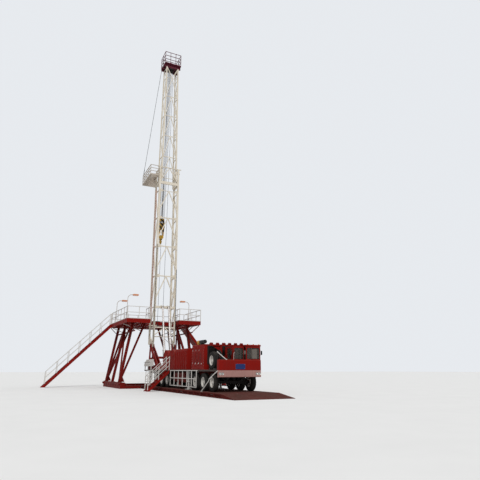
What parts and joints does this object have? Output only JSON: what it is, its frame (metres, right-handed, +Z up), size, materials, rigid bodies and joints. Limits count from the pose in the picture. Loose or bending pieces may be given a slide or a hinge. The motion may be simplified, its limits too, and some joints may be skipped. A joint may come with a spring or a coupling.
{
  "type": "workover rig",
  "caption": "Truck-mounted workover rig with a raised telescoping lattice mast, drill floor on a braced substructure, racking board, drawworks and an offset low cab.",
  "frame": {"origin": "centre of the well at ground level, under the rotary table", "axes": "+X towards the truck front, +Y to the truck left, +Z up"},
  "size_m": [26.05, 18.05, 36.6679],
  "materials": {
    "red_paint": "gloss red enamel, dusty",
    "dark_red": "worn dark red paint with rust",
    "white_paint": "off-white paint, dusty",
    "cream_paint": "cream-white paint, sun-bleached",
    "black_paint": "satin black",
    "crown_paint": "dark magenta-red paint",
    "yellow_paint": "yellow with black stripes",
    "steel": "plated rod",
    "dark_steel": "oily dark steel",
    "tyre": "dusty rubber with white rim",
    "glass": "tinted glass",
    "trim": "cab trim",
    "lamp": "orange lamp heads on white poles"
  },
  "bodies": {
    "rig": {"base_mat": "dark_red", "substructure": "dark_red", "floor_frame": "dark_red", "floor_rails": "white_paint", "floor_stair": "dark_red", "pipe_slide": "dark_red", "floor_lamps": "lamp", "chassis_frame": "dark_red", "axles": "black_paint", "deck": "black_paint", "jacks": "white_paint", "tanks": "dark_red", "guard_panels": "white_paint", "stair_rails": "white_paint", "radiator": "black_paint", "deck_stair": "dark_red", "bumper": "white_paint", "nose_panel": "red_paint", "cab_shell": "red_paint", "cab_glass": "glass", "cab_interior": "trim", "spare_wheel": "tyre", "mast_rest": "red_paint", "engine": "black_paint", "engine_hood": "red_paint", "air_cleaner": "yellow_paint", "drawworks_cover": "red_paint", "mast_base": "dark_red", "control_panel": "white_paint"},
    "steer_1l": {"knuckle_front_1l": "black_paint"},
    "wheel_f1l": {"wheel_front_1l": "tyre"},
    "steer_2l": {"knuckle_front_2l": "black_paint"},
    "wheel_f2l": {"wheel_front_2l": "tyre"},
    "wheel_f3l": {"wheel_front_3l": "tyre"},
    "wheel_b1l": {"wheel_rear_1l": "tyre"},
    "wheel_b2l": {"wheel_rear_2l": "tyre"},
    "wheel_b3l": {"wheel_rear_3l": "tyre"},
    "steer_1r": {"knuckle_front_1r": "black_paint"},
    "wheel_f1r": {"wheel_front_1r": "tyre"},
    "steer_2r": {"knuckle_front_2r": "black_paint"},
    "wheel_f2r": {"wheel_front_2r": "tyre"},
    "wheel_f3r": {"wheel_front_3r": "tyre"},
    "wheel_b1r": {"wheel_rear_1r": "tyre"},
    "wheel_b2r": {"wheel_rear_2r": "tyre"},
    "wheel_b3r": {"wheel_rear_3r": "tyre"},
    "door": {"cab_door": "red_paint"},
    "mast_lower": {"mast_lower_chords": "cream_paint", "mast_lower_braces": "cream_paint", "mast_ladder": "dark_red"},
    "mast_upper": {"mast_upper_chords": "cream_paint", "mast_upper_braces": "cream_paint", "crown": "crown_paint"},
    "sheaves": {"crown_sheaves": "dark_steel"},
    "board": {"racking_board": "cream_paint"},
    "block": {"travelling_block": "yellow_paint"},
    "barrels": {"raise_barrels": "white_paint"},
    "stage": {"raise_stage": "steel"},
    "rods": {"raise_rods": "steel"},
    "drum": {"drawworks_drum": "dark_steel"},
    "rotary": {"rotary_table": "dark_steel"}
  },
  "joints": [
    {"name": "steer_1l_turn", "type": "hinge", "parent": "rig", "child": "steer_1l", "pos_m": [17.43, 1.03, 0.8], "axis": [0, 0, 1], "range_deg": [-30, 30]},
    {"name": "wheel_f1l_spin", "type": "hinge", "parent": "steer_1l", "child": "wheel_f1l", "pos_m": [17.43, 1.275, 0.8], "axis": [0, 1, 0], "continuous": true},
    {"name": "steer_2l_turn", "type": "hinge", "parent": "rig", "child": "steer_2l", "pos_m": [15.98, 1.03, 0.8], "axis": [0, 0, 1], "range_deg": [-22, 22]},
    {"name": "wheel_f2l_spin", "type": "hinge", "parent": "steer_2l", "child": "wheel_f2l", "pos_m": [15.98, 1.275, 0.8], "axis": [0, 1, 0], "continuous": true},
    {"name": "wheel_f3l_spin", "type": "hinge", "parent": "rig", "child": "wheel_f3l", "pos_m": [14.53, 1.275, 0.8], "axis": [0, 1, 0], "continuous": true},
    {"name": "wheel_b1l_spin", "type": "hinge", "parent": "rig", "child": "wheel_b1l", "pos_m": [8.61, 1.1, 0.8], "axis": [0, 1, 0], "continuous": true},
    {"name": "wheel_b2l_spin", "type": "hinge", "parent": "rig", "child": "wheel_b2l", "pos_m": [7.24, 1.1, 0.8], "axis": [0, 1, 0], "continuous": true},
    {"name": "wheel_b3l_spin", "type": "hinge", "parent": "rig", "child": "wheel_b3l", "pos_m": [5.87, 1.1, 0.8], "axis": [0, 1, 0], "continuous": true},
    {"name": "steer_1r_turn", "type": "hinge", "parent": "rig", "child": "steer_1r", "pos_m": [17.43, -1.03, 0.8], "axis": [0, 0, 1], "range_deg": [-30, 30]},
    {"name": "wheel_f1r_spin", "type": "hinge", "parent": "steer_1r", "child": "wheel_f1r", "pos_m": [17.43, -1.275, 0.8], "axis": [0, 1, 0], "continuous": true},
    {"name": "steer_2r_turn", "type": "hinge", "parent": "rig", "child": "steer_2r", "pos_m": [15.98, -1.03, 0.8], "axis": [0, 0, 1], "range_deg": [-22, 22]},
    {"name": "wheel_f2r_spin", "type": "hinge", "parent": "steer_2r", "child": "wheel_f2r", "pos_m": [15.98, -1.275, 0.8], "axis": [0, 1, 0], "continuous": true},
    {"name": "wheel_f3r_spin", "type": "hinge", "parent": "rig", "child": "wheel_f3r", "pos_m": [14.53, -1.275, 0.8], "axis": [0, 1, 0], "continuous": true},
    {"name": "wheel_b1r_spin", "type": "hinge", "parent": "rig", "child": "wheel_b1r", "pos_m": [8.61, -1.1, 0.8], "axis": [0, 1, 0], "continuous": true},
    {"name": "wheel_b2r_spin", "type": "hinge", "parent": "rig", "child": "wheel_b2r", "pos_m": [7.24, -1.1, 0.8], "axis": [0, 1, 0], "continuous": true},
    {"name": "wheel_b3r_spin", "type": "hinge", "parent": "rig", "child": "wheel_b3r", "pos_m": [5.87, -1.1, 0.8], "axis": [0, 1, 0], "continuous": true},
    {"name": "door_swing", "type": "hinge", "parent": "rig", "child": "door", "pos_m": [18.15, 1.47, 2.2], "axis": [0, 0, -1], "range_deg": [0, 75]},
    {"name": "mast_raise", "type": "hinge", "parent": "rig", "child": "mast_lower", "pos_m": [2.55, 0, 3.6], "axis": [0, -1, 0], "range_deg": [-93.2, 0]},
    {"name": "mast_extend", "type": "slide", "parent": "mast_lower", "child": "mast_upper", "axis": [-0.0558, 0, 0.9984], "range_m": [-12.9, 0]},
    {"name": "sheaves_turn", "type": "hinge", "parent": "mast_upper", "child": "sheaves", "pos_m": [0.00285, 0, 35.00679], "axis": [0, 1, 0], "continuous": true},
    {"name": "board_fold", "type": "hinge", "parent": "mast_lower", "child": "board", "pos_m": [1.20389, -1.12, 20.51123], "axis": [-0.9984, 0, -0.0558], "range_deg": [-90, 0]},
    {"name": "block_hoist", "type": "slide", "parent": "mast_lower", "child": "block", "axis": [0, 0, 1], "range_m": [-6.5, 13.5]},
    {"name": "barrels_tilt", "type": "hinge", "parent": "rig", "child": "barrels", "pos_m": [4.5, 0, 1.25], "axis": [0, -1, 0], "range_deg": [-56.1, 0]},
    {"name": "stage_slide", "type": "slide", "parent": "barrels", "child": "stage", "axis": [-0.2622, 0, 0.965], "range_m": [-1.86, 0]},
    {"name": "rods_slide", "type": "slide", "parent": "stage", "child": "rods", "axis": [-0.2622, 0, 0.965], "range_m": [-1.86, 0]},
    {"name": "drum_turn", "type": "hinge", "parent": "rig", "child": "drum", "pos_m": [8, 0, 2.3], "axis": [0, 1, 0], "continuous": true},
    {"name": "rotary_turn", "type": "hinge", "parent": "rig", "child": "rotary", "pos_m": [0, 0, 5.95], "axis": [0, 0, 1], "continuous": true}
  ],
  "couplings": [
    {"joint": "steer_1r_turn", "follows": "steer_1l_turn", "ratio": 1},
    {"joint": "steer_2l_turn", "follows": "steer_1l_turn", "ratio": 0.7333},
    {"joint": "steer_2r_turn", "follows": "steer_1l_turn", "ratio": 0.7333},
    {"joint": "barrels_tilt", "follows": "mast_raise", "ratio": 0.60013},
    {"joint": "stage_slide", "follows": "mast_raise", "m_per_rad": 1.1413},
    {"joint": "rods_slide", "follows": "mast_raise", "m_per_rad": 1.1413}
  ]
}
